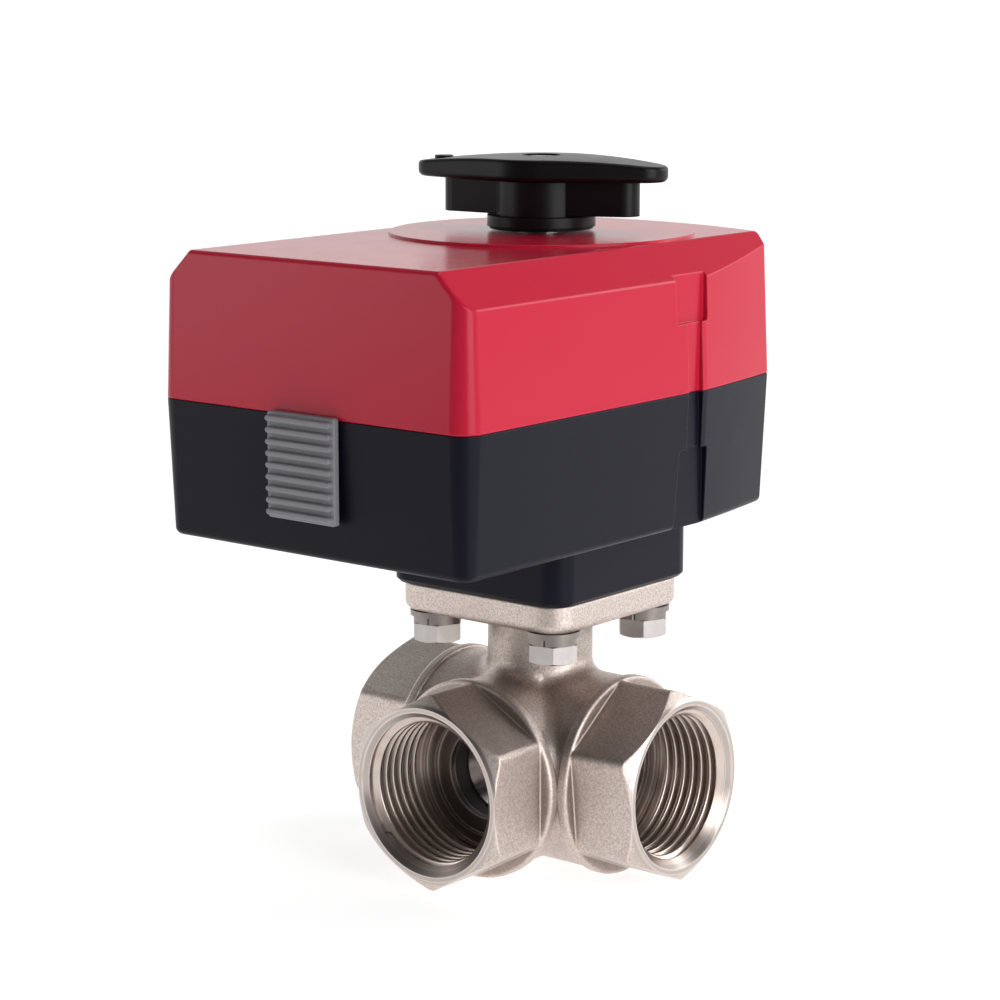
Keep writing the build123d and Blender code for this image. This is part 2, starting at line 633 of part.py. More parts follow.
# ================================================================ knob
def pointer_outline(z, reach, end_r, mid_r):
    """Lozenge with round ends, the hull of three circles in a row, turned to the knob's rest."""
    lean = asin((mid_r - end_r) / reach)
    corners = [(end_r * sin(lean) + reach, end_r * cos(lean)), (mid_r * sin(lean), mid_r * cos(lean))]
    right_end, right_mid = corners
    along = Vector(1, 0, 0).rotate(Axis.Z, knob_angle)
    with BuildSketch(Plane(origin=(0, 0, z), x_dir=along, z_dir=UP)) as outline:
        with BuildLine():
            Line((-right_mid[0], right_mid[1]), (-right_end[0], right_end[1]))
            ThreePointArc((-right_end[0], right_end[1]), (-reach - end_r, 0),
                          (-right_end[0], -right_end[1]))
            Line((-right_end[0], -right_end[1]), (-right_mid[0], -right_mid[1]))
            ThreePointArc((-right_mid[0], -right_mid[1]), (0, -mid_r), (right_mid[0], -right_mid[1]))
            Line((right_mid[0], -right_mid[1]), (right_end[0], -right_end[1]))
            ThreePointArc((right_end[0], -right_end[1]), (reach + end_r, 0), right_end)
            Line(right_end, right_mid)
            ThreePointArc(right_mid, (0, mid_r), (-right_mid[0], right_mid[1]))
        make_face()
    return outline.sketch


crown_r = 170.0
with BuildPart() as manual_knob:
    pointer = pointer_outline(knob_plate_z, knob_reach, knob_end_r, knob_mid_r)
    extrude(pointer, amount=knob_top - knob_plate_z)
    with Locations((0, 0, knob_top - crown_r)):
        Sphere(crown_r, mode=Mode.INTERSECT)
    rim = manual_knob.faces().sort_by(Axis.Z)[-1].outer_wire().edges()
    fillet(rim, 0.6)
    under = manual_knob.faces().filter_by(lambda f: abs(f.center().Z - knob_plate_z) < 0.01)
    fillet(under[0].outer_wire().edges(), 1.0)
    lug = pointer_outline(knob_lug_z, lug_reach, lug_end_r, lug_mid_r)
    extrude(lug, amount=knob_plate_z - knob_lug_z + 0.5)
    steps = ((knob_hub_r - 0.4, knob_z, knob_z + 0.4), (knob_hub_r, knob_z + 0.4, knob_hub_z),
             (knob_core_r, knob_hub_z, knob_plate_z + 0.5))
    revolve(upright_outline(cylinder_outline(steps)), axis=Axis.Z)
    bump_at = Vector(-knob_reach, 0, 0).rotate(Axis.Z, knob_angle)
    with Locations((bump_at.X, bump_at.Y, knob_top - 1.05)):
        Cylinder(1.6, 1.0)
    # bore with two flats for the shaft, and the screw's recess
    with BuildSketch(Plane.XY.offset(knob_z - 1)):
        with BuildSketch(mode=Mode.PRIVATE) as flats:
            Circle(knob_shaft_r + 0.04)
            Rectangle(10, 2 * (knob_shaft_r - 0.8) + 0.08, mode=Mode.INTERSECT)
        add(flats.sketch)
    extrude(amount=knob_top - 2.4 - knob_z + 1, mode=Mode.SUBTRACT)
    with Locations((0, 0, knob_top)):
        Cylinder(3.3, 4.0, mode=Mode.SUBTRACT)
        Cylinder(1.6, 8.0, mode=Mode.SUBTRACT)
save(manual_knob.part, "manual_knob")

with BuildPart() as knob_screw:
    add(pan_screw(knob_top - 0.3, knob_top - 9, 2.9, 1.7, 1.45))
save(knob_screw.part, "knob_screw")


# ================================================================ gear train
def involute(angle):
    return tan(angle) - angle


def gear_outline(z, centre_y, module, teeth, phase):
    """Stub-tooth involute gear centred on (0, centre_y), with a tooth at the phase angle in degrees."""
    pitch_r = module * teeth / 2
    base_r = pitch_r * cos(pressure_angle)
    root_r, tip_r = pitch_r - dedendum * module, pitch_r + addendum * module
    flank = [max(base_r, root_r) + (tip_r - max(base_r, root_r)) * step / 3 for step in range(4)]
    radii = ([root_r] if root_r < base_r else []) + flank

    def half_angle(radius):
        rolled = acos(min(1.0, base_r / radius))
        return pi / (2 * teeth) - backlash / (2 * pitch_r) + involute(pressure_angle) - involute(rolled)

    points = []
    for tooth in range(teeth):
        middle = radians(phase) + 2 * pi * tooth / teeth
        rising = [(radius, middle - half_angle(radius)) for radius in radii]
        falling = [(radius, middle + half_angle(radius)) for radius in reversed(radii)]
        points += [(radius * cos(angle), centre_y + radius * sin(angle))
                   for radius, angle in rising + falling]
    with BuildSketch(Plane.XY.offset(z)) as outline:
        with BuildLine():
            Polyline(*points, close=True)
        make_face()
    return outline.sketch


with BuildPart() as output_gear:
    extrude(gear_outline(output_gear_z, 0, output_module, output_teeth, -90), amount=output_gear_h)
    with BuildSketch(Plane.XY.offset(output_gear_z)):
        Circle(9.0)
    extrude(amount=shaft_step_z - output_gear_z)
    with BuildSketch(Plane.XY.offset(output_gear_z + output_gear_h - 1.2)):
        Circle(17.0)
        Circle(10.5, mode=Mode.SUBTRACT)
    extrude(amount=2, mode=Mode.SUBTRACT)
    with Locations((0, 0, output_gear_z)):
        Cylinder(shaft_gear_r, 30, mode=Mode.SUBTRACT)
save(output_gear.part, "output_gear")

idler_wheel_z = idler_z + idler_pinion_h + idler_neck_h
with BuildPart() as idler_gear:
    extrude(gear_outline(idler_z, idler_y, output_module, pinion_teeth, -75), amount=idler_pinion_h)
    extrude(gear_outline(idler_wheel_z, idler_y, wheel_module, wheel_teeth, -90), amount=idler_wheel_h)
    with BuildSketch(Plane.XY.offset(idler_z)):
        with Locations((0, idler_y)):
            Circle(4.0)
    extrude(amount=idler_wheel_z + idler_wheel_h + idler_hub_h - idler_z)
    with Locations((0, idler_y, idler_z)):
        Cylinder(idler_pin_r + slide_fit, 40, mode=Mode.SUBTRACT)
save(idler_gear.part, "idler_gear")

with BuildPart() as idler_pin:
    with BuildSketch(Plane.XY.offset(floor_z - 1.2)):
        with Locations((0, idler_y)):
            Circle(idler_pin_r)
    extrude(amount=plate_top - floor_z + 1.2)
save(idler_pin.part, "idler_pin")

with BuildPart() as gear_plate:
    with BuildSketch(Plane.XY.offset(plate_z)):
        with Locations((0, (plate_y[0] + plate_y[1]) / 2)):
            RectangleRounded(2 * plate_hx, plate_y[1] - plate_y[0], plate_corner_r)
        Circle(upper_bush_r, mode=Mode.SUBTRACT)
        with Locations((0, idler_y)):
            Circle(idler_pin_r, mode=Mode.SUBTRACT)
        with Locations((0, motor_shaft_y)):
            Circle(3.4, mode=Mode.SUBTRACT)
        with Locations(*post_points):
            Circle(1.6, mode=Mode.SUBTRACT)
        with Locations(*motor_screw_points, *board_posts, *switch_holes):
            Circle(1.2, mode=Mode.SUBTRACT)
    extrude(amount=plate_t)
save(gear_plate.part, "gear_plate")

plate_screw = pan_screw(plate_top + 1.6, plate_top - 8, 2.5, 1.6, 1.5)
with BuildPart() as plate_screws:
    with Locations(*[(x, y, 0) for x, y in post_points]):
        add(plate_screw)
save(plate_screws.part, "plate_screws")


# ================================================================ motor
with BuildPart() as motor_can:
    with BuildSketch(Plane.XY.offset(plate_top)):
        with Locations(*motor_screw_points):
            Circle(3.3)
        with Locations((0, motor_y)):
            Rectangle(2 * motor_screw_x, 6.6)
            Circle(motor_r)
    extrude(amount=1.0)
    with BuildSketch(Plane.XY.offset(plate_top)):
        with Locations((0, motor_y)):
            Circle(motor_r - 0.6)
    extrude(amount=motor_h)
    fillet(motor_can.faces().sort_by(Axis.Z)[-1].edges(), 1.2)
    with BuildSketch(Plane.XY.offset(plate_top - 1)):
        with Locations((0, motor_shaft_y)):
            Circle(motor_shaft_r + slide_fit)
    extrude(amount=9, mode=Mode.SUBTRACT)
    with BuildSketch(Plane.XY.offset(plate_top - 1)):
        with Locations(*motor_screw_points):
            Circle(1.3)
    extrude(amount=4, mode=Mode.SUBTRACT)
save(motor_can.part, "motor_can")

motor_screw = pan_screw(plate_top + 2.2, plate_z - 0.5, 2.0, 1.2, 1.2)
with BuildPart() as motor_screws:
    with Locations(*[(x, y, 0) for x, y in motor_screw_points]):
        add(motor_screw)
save(motor_screws.part, "motor_screws")

with BuildPart() as motor_shaft:
    with BuildSketch(Plane.XY.offset(motor_pinion_z)):
        with Locations((0, motor_shaft_y)):
            Circle(motor_shaft_r)
    extrude(amount=plate_top + 7 - motor_pinion_z)
save(motor_shaft.part, "motor_shaft")

with BuildPart() as motor_pinion:
    cut_teeth = gear_outline(motor_pinion_z, motor_shaft_y, wheel_module, motor_teeth, -75)
    extrude(cut_teeth, amount=motor_pinion_h)
    with BuildSketch(Plane.XY.offset(motor_pinion_z - 1)):
        with Locations((0, motor_shaft_y)):
            Circle(motor_shaft_r)
    extrude(amount=20, mode=Mode.SUBTRACT)
save(motor_pinion.part, "motor_pinion")


# ================================================================ release slide
with BuildPart() as release_slider:
    slider_mid = (slider_z[0] + slider_z[1]) / 2
    with BuildSketch(Plane.XZ.offset(-slider_back)):
        with Locations((0, slider_mid)):
            RectangleRounded(2 * slider_hx, slider_z[1] - slider_z[0], 0.5)
    extrude(amount=slider_back - slider_front)
    plate_rim = release_slider.faces().sort_by(Axis.Y)[0].edges()
    fillet(plate_rim, 0.3)
    with BuildSketch(Plane.XZ.offset(-slider_front)):
        with Locations((0, slider_mid)):
            with GridLocations(1, rib_pitch, 1, rib_count):
                SlotOverall(2 * rib_hx, rib_t)
    extrude(amount=slider_front - rib_front)
    rib_tops = release_slider.faces().filter_by(lambda f: abs(f.center().Y - rib_front) < 0.01)
    fillet(rib_tops.edges(), 0.3)
    with Locations((0, (slider_back + block_y) / 2, (neck_z[0] + neck_z[1]) / 2)):
        Box(2 * slot_hx - 0.6, block_y - slider_back, neck_z[1] - neck_z[0])
    with Locations((0, block_y, (fork_z + fork_t + neck_z[1]) / 2)):
        Box(9.0, 2.4, neck_z[1] - fork_z - fork_t)
save(release_slider.part, "release_slider")

with BuildPart() as release_fork:
    with BuildSketch(Plane.XY.offset(fork_z)):
        with BuildLine():
            Polyline((0, -55.6), (15.0, -55.6), (15.0, -44.0), (9.4, -44.0), (9.4, -22.6), (4.5, -22.6),
                     (4.5, -29.4), (6.4, -29.4), (6.4, -52.2), (0, -52.2), close=True)
        make_face()
        mirror(about=Plane.YZ)
    extrude(amount=fork_t)
save(release_fork.part, "release_fork")

spring_wire_r, spring_coil_r, spring_turns = 0.3, 1.9, 5
spring_low, spring_high = fork_z + fork_t + spring_wire_r, plate_z - spring_wire_r
with BuildPart() as release_springs:
    for side in (1, -1):
        with BuildLine() as coil:
            Helix(pitch=(spring_high - spring_low) / spring_turns, height=spring_high - spring_low,
                  radius=spring_coil_r, center=(side * 12.6, -47.0, spring_low))
        with BuildSketch(Plane(origin=coil.line @ 0, z_dir=coil.line % 0)):
            Circle(spring_wire_r)
        sweep(path=coil.line)
save(release_springs.part, "release_springs")


# ================================================================ position switches
def cam_outline(z, lobe_at):
    """Round cam with a raised stretch of 50 degrees that starts at the angle lobe_at."""
    start, middle, end = [(lobe_r * cos(radians(angle)), lobe_r * sin(radians(angle)))
                          for angle in (lobe_at, lobe_at + 25, lobe_at + 50)]
    with BuildSketch(Plane.XY.offset(z)) as outline:
        with BuildLine():
            Line((0, 0), start)
            ThreePointArc(start, middle, end)
            Line(end, (0, 0))
        make_face()
        Circle(cam_r)
        Circle(shaft_r, mode=Mode.SUBTRACT)
    return outline.sketch


for name, level, lobe_at in (("open", switch_levels[0], -8), ("close", switch_levels[1], 82)):
    with BuildPart() as cam:
        extrude(cam_outline(level - 1.5, lobe_at), amount=3)
    save(cam.part, f"{name}_cam")

    with BuildPart() as switch:
        with BuildSketch(Plane.XY.offset(level - switch_t / 2)):
            with Locations((switch_x, 0)):
                RectangleRounded(10.2, 19.8, 0.6)
            with Locations(*switch_holes):
                Circle(1.2, mode=Mode.SUBTRACT)
        extrude(amount=switch_t)
        with Locations((switch_x - 5.1, 0, level)):
            Box(3.2, 3.0, 1.8, mode=Mode.SUBTRACT)
        for row in (-7.0, 0, 7.0):
            with Locations((switch_x + 5.1 + 1.2, row, level)):
                Box(3.2, 2.4, 0.5)
    save(switch.part, f"limit_switch_{name}")

    with BuildPart() as plunger:
        with Locations((plunger_tip_x + 1.0, 0, level)):
            Box(2.0, 2.8, 1.6)
        fillet(plunger.edges().filter_by(Axis.Z).group_by(Axis.X)[0], 0.7)
    save(plunger.part, f"switch_plunger_{name}")

switch_screw = pan_screw(switch_levels[1] + switch_t / 2 + 1.2, plate_z - 0.4, 2.0, 1.2, 1.15)
with BuildPart() as switch_screws:
    with Locations(*[(x, y, 0) for x, y in switch_holes]):
        add(switch_screw)
save(switch_screws.part, "switch_screws")


# ================================================================ circuit board
with BuildPart() as circuit_board:
    with BuildSketch(Plane.XY.offset(board_z)):
        with Locations((0, (board_y[0] + board_y[1]) / 2)):
            RectangleRounded(55.0, board_y[1] - board_y[0], 1.0)
        with Locations(*board_posts):
            Circle(1.3, mode=Mode.SUBTRACT)
    extrude(amount=board_t)
save(circuit_board.part, "circuit_board")

with BuildPart() as board_standoffs:
    with BuildSketch(Plane.XY.offset(plate_top)):
        with Locations(*board_posts):
            RegularPolygon(2.0, 6)
            Circle(1.3, mode=Mode.SUBTRACT)
    extrude(amount=board_z - plate_top)
save(board_standoffs.part, "board_standoffs")

board_screw = pan_screw(board_z + board_t + 1.2, board_z - 5, 1.9, 1.2, 1.25)
with BuildPart() as board_screws:
    with Locations(*[(x, y, 0) for x, y in board_posts]):
        add(board_screw)
save(board_screws.part, "board_screws")

with BuildPart() as board_relay:
    with Locations((-10, -36, board_z + board_t + 4)):
        Box(19, 15, 8)
    fillet(board_relay.edges().filter_by(Axis.Z), 0.5)
save(board_relay.part, "board_relay")

with BuildPart() as motor_capacitor:
    with Locations((12, -36, board_z + board_t + 3.7)):
        Box(13, 6, 7.4)
    fillet(motor_capacitor.edges().filter_by(Axis.Z), 1.0)
save(motor_capacitor.part, "motor_capacitor")

terminal_count, terminal_pitch = 4, 5.0
with BuildPart() as terminal_block:
    with Locations((0, -16.0, board_z + board_t + 3.6)):
        Box(terminal_count * terminal_pitch + 1, 8, 7.2)
    with BuildSketch(Plane.XY.offset(board_z + board_t + 7.2)):
        with Locations((0, -16.0)):
            with GridLocations(terminal_pitch, 1, terminal_count, 1):
                Circle(1.7)
    extrude(amount=-4, mode=Mode.SUBTRACT)
    with BuildSketch(Plane.XZ.offset(12.0)):
        with Locations((0, board_z + board_t + 2.4)):
            with GridLocations(terminal_pitch, 1, terminal_count, 1):
                Rectangle(2.8, 2.6)
    extrude(amount=3, mode=Mode.SUBTRACT)
save(terminal_block.part, "terminal_block")


# ================================================================ cable gland
gland_plane = Plane(origin=(0, 0, gland_z), x_dir=(0, 1, 0), z_dir=(1, 0, 0))


def gland_turned(points):
    """Closed (Y, radius) outline about the gland's axis."""
    with BuildSketch(gland_plane) as outline:
        with BuildLine():
            Polyline(*points, close=True)
        make_face()
    return outline.sketch


gland_axis = Axis((0, 0, gland_z), (0, 1, 0))
gland_hex_y, gland_neck_y, gland_end_y = pad_y + 4.0, pad_y + 7.0, pad_y + 12.5
with BuildPart() as gland_body:
    outline = ((24.6, gland_hole_r + 0.3), (24.6, gland_r - slide_fit), (pad_y, gland_r - slide_fit),
               (pad_y, 7.0), (gland_hex_y, 7.0), (gland_hex_y, 5.6), (gland_neck_y + 2, 5.6),
               (gland_neck_y + 2, 4.8), (gland_hex_y, 4.8), (gland_hex_y, gland_hole_r + 0.3))
    revolve(gland_turned(outline), axis=gland_axis)
    with BuildSketch(Plane.XZ.offset(-pad_y)):
        with Locations((0, gland_z)):
            RegularPolygon(7.5, 6, major_radius=False)
            Circle(6.5, mode=Mode.SUBTRACT)
    extrude(amount=-(gland_hex_y - pad_y))
save(gland_body.part, "gland_body")

with BuildPart() as gland_nut:
    outline = ((gland_hex_y + 0.4, 5.65), (gland_hex_y + 0.4, 7.6), (gland_end_y - 3, 7.4),
               (gland_end_y, 5.6), (gland_end_y, gland_hole_r + 0.6),
               (gland_end_y - 2.2, gland_hole_r + 0.6), (gland_end_y - 3.2, 5.65))
    revolve(gland_turned(outline), axis=gland_axis)
    with BuildSketch(Plane.XZ.offset(-gland_hex_y - 0.4)):
        with Locations((0, gland_z)):
            with PolarLocations(7.75, 12):
                Circle(0.45, mode=Mode.ADD)
    extrude(amount=-5.0, mode=Mode.SUBTRACT)
save(gland_nut.part, "gland_nut")

with BuildPart() as gland_seal:
    outline = ((gland_hex_y + 0.1, gland_hole_r), (gland_hex_y + 0.1, 4.75), (gland_end_y - 3.4, 4.75),
               (gland_end_y - 3.4, gland_hole_r))
    revolve(gland_turned(outline), axis=gland_axis)
save(gland_seal.part, "gland_seal")

with BuildPart() as gland_locknut:
    with BuildSketch(Plane.XZ.offset(-25.2)):
        with Locations((0, gland_z)):
            RegularPolygon(7.5, 6, major_radius=False)
            Circle(gland_r, mode=Mode.SUBTRACT)
    extrude(amount=-3.2)
save(gland_locknut.part, "gland_locknut")
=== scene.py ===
import json
import math

import bmesh
import bpy
from mathutils import Matrix, Vector


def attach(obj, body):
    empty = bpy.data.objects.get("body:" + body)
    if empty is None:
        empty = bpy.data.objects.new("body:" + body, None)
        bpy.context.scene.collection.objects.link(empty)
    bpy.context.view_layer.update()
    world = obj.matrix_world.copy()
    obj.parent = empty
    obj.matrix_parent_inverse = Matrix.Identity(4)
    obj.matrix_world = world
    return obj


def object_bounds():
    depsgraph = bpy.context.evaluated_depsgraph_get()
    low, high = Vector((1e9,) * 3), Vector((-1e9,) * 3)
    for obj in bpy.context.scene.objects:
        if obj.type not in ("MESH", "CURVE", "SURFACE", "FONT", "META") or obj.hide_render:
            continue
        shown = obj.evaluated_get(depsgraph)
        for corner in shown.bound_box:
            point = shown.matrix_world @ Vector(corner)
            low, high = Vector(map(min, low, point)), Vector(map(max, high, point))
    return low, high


# Looks of the motorised three-way ball valve. Metres, in the CAD frame: +Z up the stem, port A towards
# -Y, port B towards +X, port C towards -X, and the origin where the stem axis crosses the port axes.

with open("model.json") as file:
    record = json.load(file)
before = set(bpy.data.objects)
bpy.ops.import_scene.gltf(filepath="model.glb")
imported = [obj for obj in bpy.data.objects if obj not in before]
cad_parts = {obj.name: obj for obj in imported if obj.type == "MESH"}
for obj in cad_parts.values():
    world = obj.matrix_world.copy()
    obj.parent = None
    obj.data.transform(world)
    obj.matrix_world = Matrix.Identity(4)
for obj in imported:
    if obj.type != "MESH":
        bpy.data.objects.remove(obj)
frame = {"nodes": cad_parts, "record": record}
cad_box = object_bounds()
NODES = frame["nodes"]
MM = 0.001
PORTS = {"a": Vector((0, -1, 0)), "b": Vector((1, 0, 0)), "c": Vector((-1, 0, 0))}


# ---------------------------------------------------------------- node helpers
COAT_ROUGHNESS = 0.1
BEVEL_SAMPLES, OCCLUSION_SAMPLES = 6, 6
EDGE_START, EDGE_FULL = 0.004, 0.048


class Shader:
    """A material with a Principled shader, and short calls for the nodes that feed it."""

    def __init__(self, name, color, roughness, metallic=0.0, coat=0.0):
        self.material = bpy.data.materials.new(name)
        self.material.use_nodes = True
        self.tree = self.material.node_tree
        self.surface = self.tree.nodes["Principled BSDF"]
        self.set("Base Color", (*color, 1.0))
        self.set("Roughness", roughness)
        self.set("Metallic", metallic)
        self.set("Coat Weight", coat)
        self.set("Coat Roughness", COAT_ROUGHNESS)
        self.place = self.node("ShaderNodeTexCoord").outputs["Object"]
        self.material.diffuse_color = (*color, 1.0)

    def set(self, socket, value):
        self.surface.inputs[socket].default_value = value

    def node(self, kind, settings=None, **sockets):
        made = self.tree.nodes.new(kind)
        for key, value in (settings or {}).items():
            setattr(made, key, value)
        for key, value in sockets.items():
            self.feed(made.inputs[key.replace("_", " ")], value)
        return made

    def feed(self, socket, value):
        if isinstance(value, bpy.types.NodeSocket):
            self.tree.links.new(value, socket)
        else:
            socket.default_value = value

    def noise(self, size, detail=3.0, roughness=0.55, stretch=(1, 1, 1)):
        """Noise whose lumps are about size metres wide, stretched along the given axes."""
        place = self.place
        if stretch != (1, 1, 1):
            place = self.node("ShaderNodeMapping", Vector=place, Scale=stretch).outputs[0]
        settings = {"Scale": 1 / size, "Detail": detail, "Roughness": roughness}
        return self.node("ShaderNodeTexNoise", Vector=place, **settings).outputs["Fac"]

    def ramp(self, value, low, high, start=0.0, end=1.0):
        """Value between low and high, spread smoothly from start to end."""
        settings = {"interpolation_type": "SMOOTHSTEP"}
        made = self.node("ShaderNodeMapRange", settings, Value=value)
        for name, number in (("From Min", low), ("From Max", high), ("To Min", start), ("To Max", end)):
            made.inputs[name].default_value = number
        return made.outputs[0]

    def math(self, operation, first, second=0.0, third=0.0):
        made = self.node("ShaderNodeMath", {"operation": operation})
        for socket, value in zip(made.inputs, (first, second, third)):
            self.feed(socket, value)
        return made.outputs[0]

    def mix(self, factor, first, second):
        """Colour mixed from first to second."""
        made = self.node("ShaderNodeMix", {"data_type": "RGBA"})
        for index, value in ((0, factor), (6, first), (7, second)):
            if isinstance(value, tuple) and len(value) == 3:
                value = (*value, 1.0)
            self.feed(made.inputs[index], value)
        return made.outputs[2]

    def blend(self, factor, first, second):
        """Number mixed from first to second."""
        made = self.node("ShaderNodeMix", {"data_type": "FLOAT"})
        for index, value in ((0, factor), (2, first), (3, second)):
            self.feed(made.inputs[index], value)
        return made.outputs[0]

    def bump(self, height, depth, strength=1.0, normal=None):
        made = self.node("ShaderNodeBump", Height=height, Distance=depth, Strength=strength)
        if normal is not None:
            self.feed(made.inputs["Normal"], normal)
        return made.outputs[0]

    def edges(self, radius):
        """1 near sharp edges, from the angle between the face's normal and a rounded one; and that one."""
        rounded = self.node("ShaderNodeBevel", {"samples": BEVEL_SAMPLES}, Radius=radius).outputs[0]
        flat = self.node("ShaderNodeNewGeometry").outputs["Normal"]
        dot = self.node("ShaderNodeVectorMath", {"operation": "DOT_PRODUCT"})
        self.feed(dot.inputs[0], rounded)
        self.feed(dot.inputs[1], flat)
        bend = self.math("SUBTRACT", 1.0, dot.outputs["Value"])
        return self.ramp(bend, EDGE_START, EDGE_FULL), rounded

    def openness(self, reach):
        """1 in the open, falling towards 0 in the creases of its own mesh."""
        settings = {"samples": OCCLUSION_SAMPLES, "only_local": True}
        return self.node("ShaderNodeAmbientOcclusion", settings, Distance=reach).outputs["AO"]

    def color(self, value):
        self.feed(self.surface.inputs["Base Color"], value)

    def roughness(self, value):
        self.feed(self.surface.inputs["Roughness"], value)

    def normal(self, value):
        self.feed(self.surface.inputs["Normal"], value)


def scaled(color, factor):
    return tuple(part * factor for part in color)


def moulded(name, color, roughness, grain=0.35 * MM, depth=4e-6, uneven=0.05, gloss=0.5, coat=0.0):
    """Moulded plastic: spark-eroded grain, softly broken edges, and a lighter colour along them that is a
    painted edge highlight and a little rubbing.
    """
    shader = Shader(name, color, roughness, coat=coat)
    shader.set("Specular IOR Level", gloss)
    rubbed_and_highlit, rounded = shader.edges(0.35 * MM)
    light = tuple(min(1.0, part * 1.35 + 0.004) for part in color)
    shade = shader.mix(shader.math("MULTIPLY", shader.noise(3 * MM), uneven * 2), color, light)
    # Lighter colour along the edges: painted edge highlight, and a little rubbing.
    shader.color(shader.mix(shader.math("MULTIPLY", rubbed_and_highlit, 0.5), shade, light))
    shader.roughness(shader.blend(shader.noise(5 * MM), roughness - uneven, roughness + uneven))
    if depth:
        rounded = shader.bump(shader.noise(grain, detail=2.0), depth, 0.8, rounded)
    shader.normal(rounded)
    return shader.material


def turned_metal(name, color, roughness, size=0.12 * MM, streak=(1, 1, 6)):
    """Machined metal: streaks along the cut and duller patches."""
    shader = Shader(name, color, roughness, metallic=1.0)
    streaks = shader.noise(size, detail=2.0, stretch=streak)
    shader.color(shader.mix(shader.noise(2.2 * MM), scaled(color, 0.72), color))
    shader.roughness(shader.blend(streaks, roughness - 0.08, roughness + 0.12))
    shader.normal(shader.bump(streaks, 5e-6, 0.7))
    return shader.material


# ---------------------------------------------------------------- nickel-plated brass
NICKEL = (0.70, 0.615, 0.575)
GRIME = (0.49, 0.41, 0.365)
PAINTED_CREASE_SHADE = (0.24, 0.185, 0.155)
BRASS = (0.62, 0.36, 0.13)
PORT_FACE, THREAD_START, THREAD_END = 31.2 * MM, 30.3 * MM, 16.8 * MM
BORE_OUTER, BORE_INNER = 14.6 * MM, 13.9 * MM
BORE_SHADE_START, BORE_SHADE_FULL = 17.2 * MM, 15.0 * MM
GRAIN, TURNING_PITCH = 0.33 * MM, 0.22 * MM
CAST_ROUGHNESS, MACHINED_ROUGHNESS = (0.48, 0.36), 0.3


def distance_along(shader, direction):
    """Distance along a port's axis, and distance from that axis."""
    along = shader.node("ShaderNodeVectorMath", {"operation": "DOT_PRODUCT"})
    shader.feed(along.inputs[0], shader.place)
    along.inputs[1].default_value = direction
    flat = shader.node("ShaderNodeVectorMath", {"operation": "MULTIPLY"})
    shader.feed(flat.inputs[0], shader.place)
    flat.inputs[1].default_value = tuple(1 - abs(part) for part in direction)
    length = shader.node("ShaderNodeVectorMath", {"operation": "LENGTH"})
    shader.feed(length.inputs[0], flat.outputs[0])
    return along.outputs["Value"], length.outputs["Value"]


def nickel(name, direction):
    """Blasted casting with a machined end face, mouth and bores, its plating thin along the edges; with
    painted shade in its creases and deep in its bores, and a painted highlight along its edges.
    """
    shader = Shader(name, NICKEL, MACHINED_ROUGHNESS, metallic=0.97)
    along, radius = distance_along(shader, direction)
    end_face = shader.ramp(along, PORT_FACE - 0.6 * MM, PORT_FACE - 0.2 * MM)
    past_stem = shader.ramp(along, 2 * MM, 4 * MM)
    in_bore = shader.math("MULTIPLY", past_stem, shader.ramp(radius, BORE_OUTER, BORE_INNER))
    machined = shader.math("MAXIMUM", end_face, in_bore)

    grain = shader.noise(GRAIN, detail=5.0, roughness=0.7)
    patches = shader.noise(7 * MM, detail=3.0)
    speckle = shader.ramp(grain, 0.38, 0.60)
    stained = shader.math("MULTIPLY", shader.ramp(patches, 0.45, 0.75), 0.4)
    cast = shader.mix(stained, shader.mix(speckle, GRIME, NICKEL), GRIME)
    # Painted shade: darker brown in the creases of its own mesh, from ambient occlusion.
    cast = shader.mix(shader.ramp(shader.openness(9 * MM), 0.95, 0.45, 0.0, 0.75), cast, PAINTED_CREASE_SHADE)

    # Painted shade, with duller unplated metal: the bore is much darker deep inside, past the thread.
    bore_shade = shader.math("MULTIPLY", shader.ramp(along, BORE_SHADE_START, BORE_SHADE_FULL), in_bore)
    colour = shader.mix(machined, cast, scaled(NICKEL, 0.68))
    colour = shader.mix(bore_shade, colour, scaled(NICKEL, 0.3))
    edge, rounded = shader.edges(0.5 * MM)
    # Painted highlight: the colour is lighter along every edge.
    colour = shader.mix(shader.math("MULTIPLY", edge, 0.8), colour, scaled(NICKEL, 1.25))
    worn = shader.math("MULTIPLY", edge, shader.ramp(shader.noise(4 * MM), 0.58, 0.7))
    shader.color(shader.mix(shader.math("MULTIPLY", worn, 0.6), colour, BRASS))

    cast_bump = shader.bump(grain, 80e-6, 0.95, rounded)
    cast_bump = shader.bump(shader.noise(2.6 * MM, detail=2.0), 60e-6, 0.5, cast_bump)
    turning = shader.math("SINE", shader.math("MULTIPLY", radius, 2 * math.pi / TURNING_PITCH))
    turned_bump = shader.bump(turning, 2.5e-6, 0.8)
    normals = shader.node("ShaderNodeMix", {"data_type": "VECTOR"})
    for index, value in ((0, machined), (4, cast_bump), (5, turned_bump)):
        shader.feed(normals.inputs[index], value)
    shader.normal(normals.outputs[1])
    shader.roughness(shader.blend(machined, shader.blend(speckle, *CAST_ROUGHNESS), MACHINED_ROUGHNESS))
    return shader.material


NICKEL_OF = {letter: nickel(f"nickel_{letter}", tuple(way)) for letter, way in PORTS.items()}

